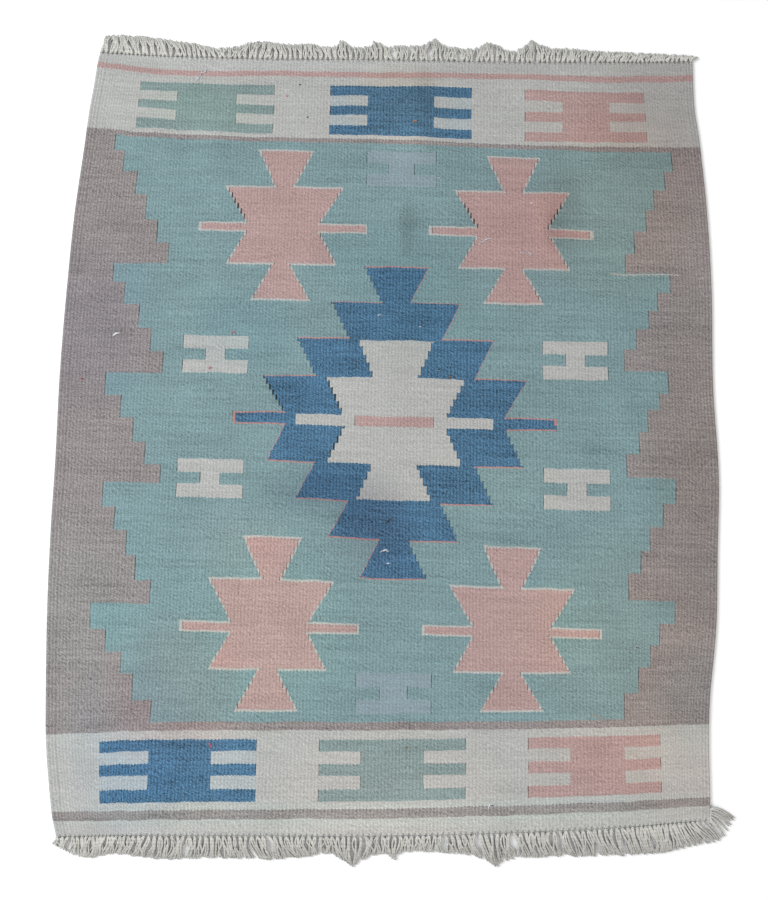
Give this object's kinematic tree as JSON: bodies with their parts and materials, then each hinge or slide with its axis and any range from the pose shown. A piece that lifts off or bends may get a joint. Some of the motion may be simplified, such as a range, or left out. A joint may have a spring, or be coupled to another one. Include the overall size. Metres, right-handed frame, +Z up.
{
  "type": "kilim rug",
  "caption": "Flat-woven kilim rug lying flat, with banded ends, stepped medallion and diamonds, and a short knotted fringe on both ends.",
  "frame": {"origin": "centre of the bounding box's underside, on the floor", "axes": "+X across the rug to the right of the picture, +Y along the warps to the picture's top end, +Z up out of the face"},
  "size_m": [0.9239, 1.1629, 0.0056],
  "materials": {
    "woven_wool": "matte ribbed flat weave in pale teal, grey-taupe, cream, dusty pink and faded blue",
    "fringe_yarn": "matte undyed warp yarn"
  },
  "bodies": {
    "root": {"woven_panel": "woven_wool", "fringe_far": "fringe_yarn", "fringe_near": "fringe_yarn"}
  },
  "joints": []
}
